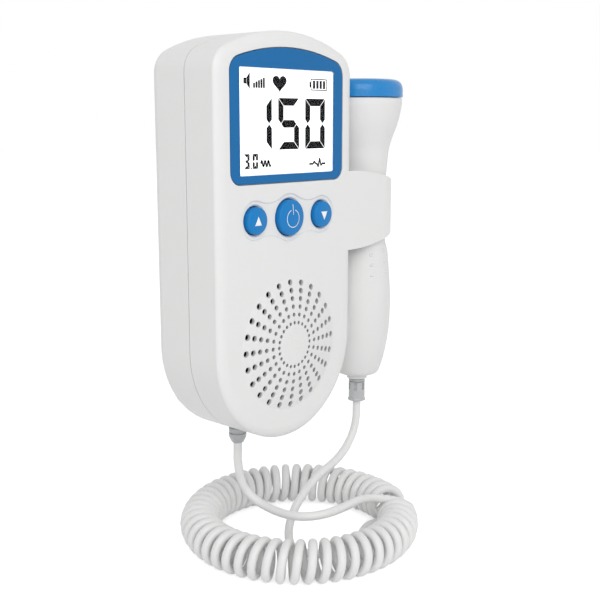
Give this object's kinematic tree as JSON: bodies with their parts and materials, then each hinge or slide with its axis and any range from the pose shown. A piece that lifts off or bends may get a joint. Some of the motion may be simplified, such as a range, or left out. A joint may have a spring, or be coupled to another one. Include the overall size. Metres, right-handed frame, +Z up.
{
  "type": "fetal doppler monitor",
  "caption": "Hand-held fetal doppler monitor with screen, push buttons and domed speaker grille, a probe in a side cradle, and a curly cord lying in a ring.",
  "frame": {"origin": "on the case's flat back face, straight behind the power button", "axes": "+Z up along the case, +X to the side with the probe (the right, seen from the front), +Y out of the back; the screen faces -Y"},
  "size_m": [0.0998, 0.0875, 0.1808],
  "materials": {
    "shell_white": "fine satin moulded ABS",
    "bezel_blue": "smooth printed blue",
    "button_blue": "smooth moulded blue",
    "clear_window": "clear acrylic",
    "display_glass": "pale display glass with dark segments",
    "inner_white": "plain moulded",
    "board_green": "solder mask",
    "dark_plastic": "plain moulded",
    "steel": "plated",
    "cord_white": "soft satin jacket",
    "relief_grey": "plain moulded",
    "crystal": "ceramic"
  },
  "bodies": {
    "monitor": {"front_cover": "shell_white", "speaker_grille": "shell_white", "back_cover": "shell_white", "screen_bezel": "bezel_blue", "screen_window": "clear_window", "display_panel": "display_glass", "display_frame": "inner_white", "main_board": "board_green", "up_switch": "dark_plastic", "power_switch": "dark_plastic", "down_switch": "dark_plastic", "speaker_frame": "dark_plastic", "speaker_cone": "dark_plastic", "speaker_magnet": "steel", "cell_left": "steel", "cell_right": "steel", "spring_left": "steel", "spring_right": "steel", "contact_left": "steel", "contact_right": "steel", "contact_bridge": "steel", "case_screw_1": "steel", "case_screw_2": "steel", "case_screw_3": "steel", "case_screw_4": "steel", "cord_tail_unit": "cord_white", "cord_curls": "cord_white", "cord_tail_probe": "cord_white", "unit_relief": "relief_grey"},
    "probe": {"probe_shell": "shell_white", "probe_cap": "button_blue", "crystal_holder": "inner_white", "crystal_left": "crystal", "crystal_right": "crystal", "probe_board": "board_green", "probe_relief": "relief_grey"},
    "battery_door": {"battery_door": "shell_white"},
    "up_button": {"up_button": "button_blue"},
    "power_button": {"power_button": "button_blue"},
    "down_button": {"down_button": "button_blue"}
  },
  "joints": [
    {"name": "up_button_press", "type": "slide", "parent": "monitor", "child": "up_button", "axis": [0, 1, 0], "range_m": [0, 0.0006], "stiffness_N_per_m": 800, "springref_m": -0.001},
    {"name": "power_button_press", "type": "slide", "parent": "monitor", "child": "power_button", "axis": [0, 1, 0], "range_m": [0, 0.0006], "stiffness_N_per_m": 800, "springref_m": -0.001},
    {"name": "down_button_press", "type": "slide", "parent": "monitor", "child": "down_button", "axis": [0, 1, 0], "range_m": [0, 0.0006], "stiffness_N_per_m": 800, "springref_m": -0.001},
    {"name": "battery_door_swing", "type": "hinge", "parent": "monitor", "child": "battery_door", "pos_m": [0, 0, -0.0649], "axis": [-1, 0, 0], "range_deg": [0, 70]},
    {"name": "probe_release", "type": "slide", "parent": "monitor", "child": "probe", "axis": [0, 1, 0], "range_m": [0, 0.03]}
  ]
}
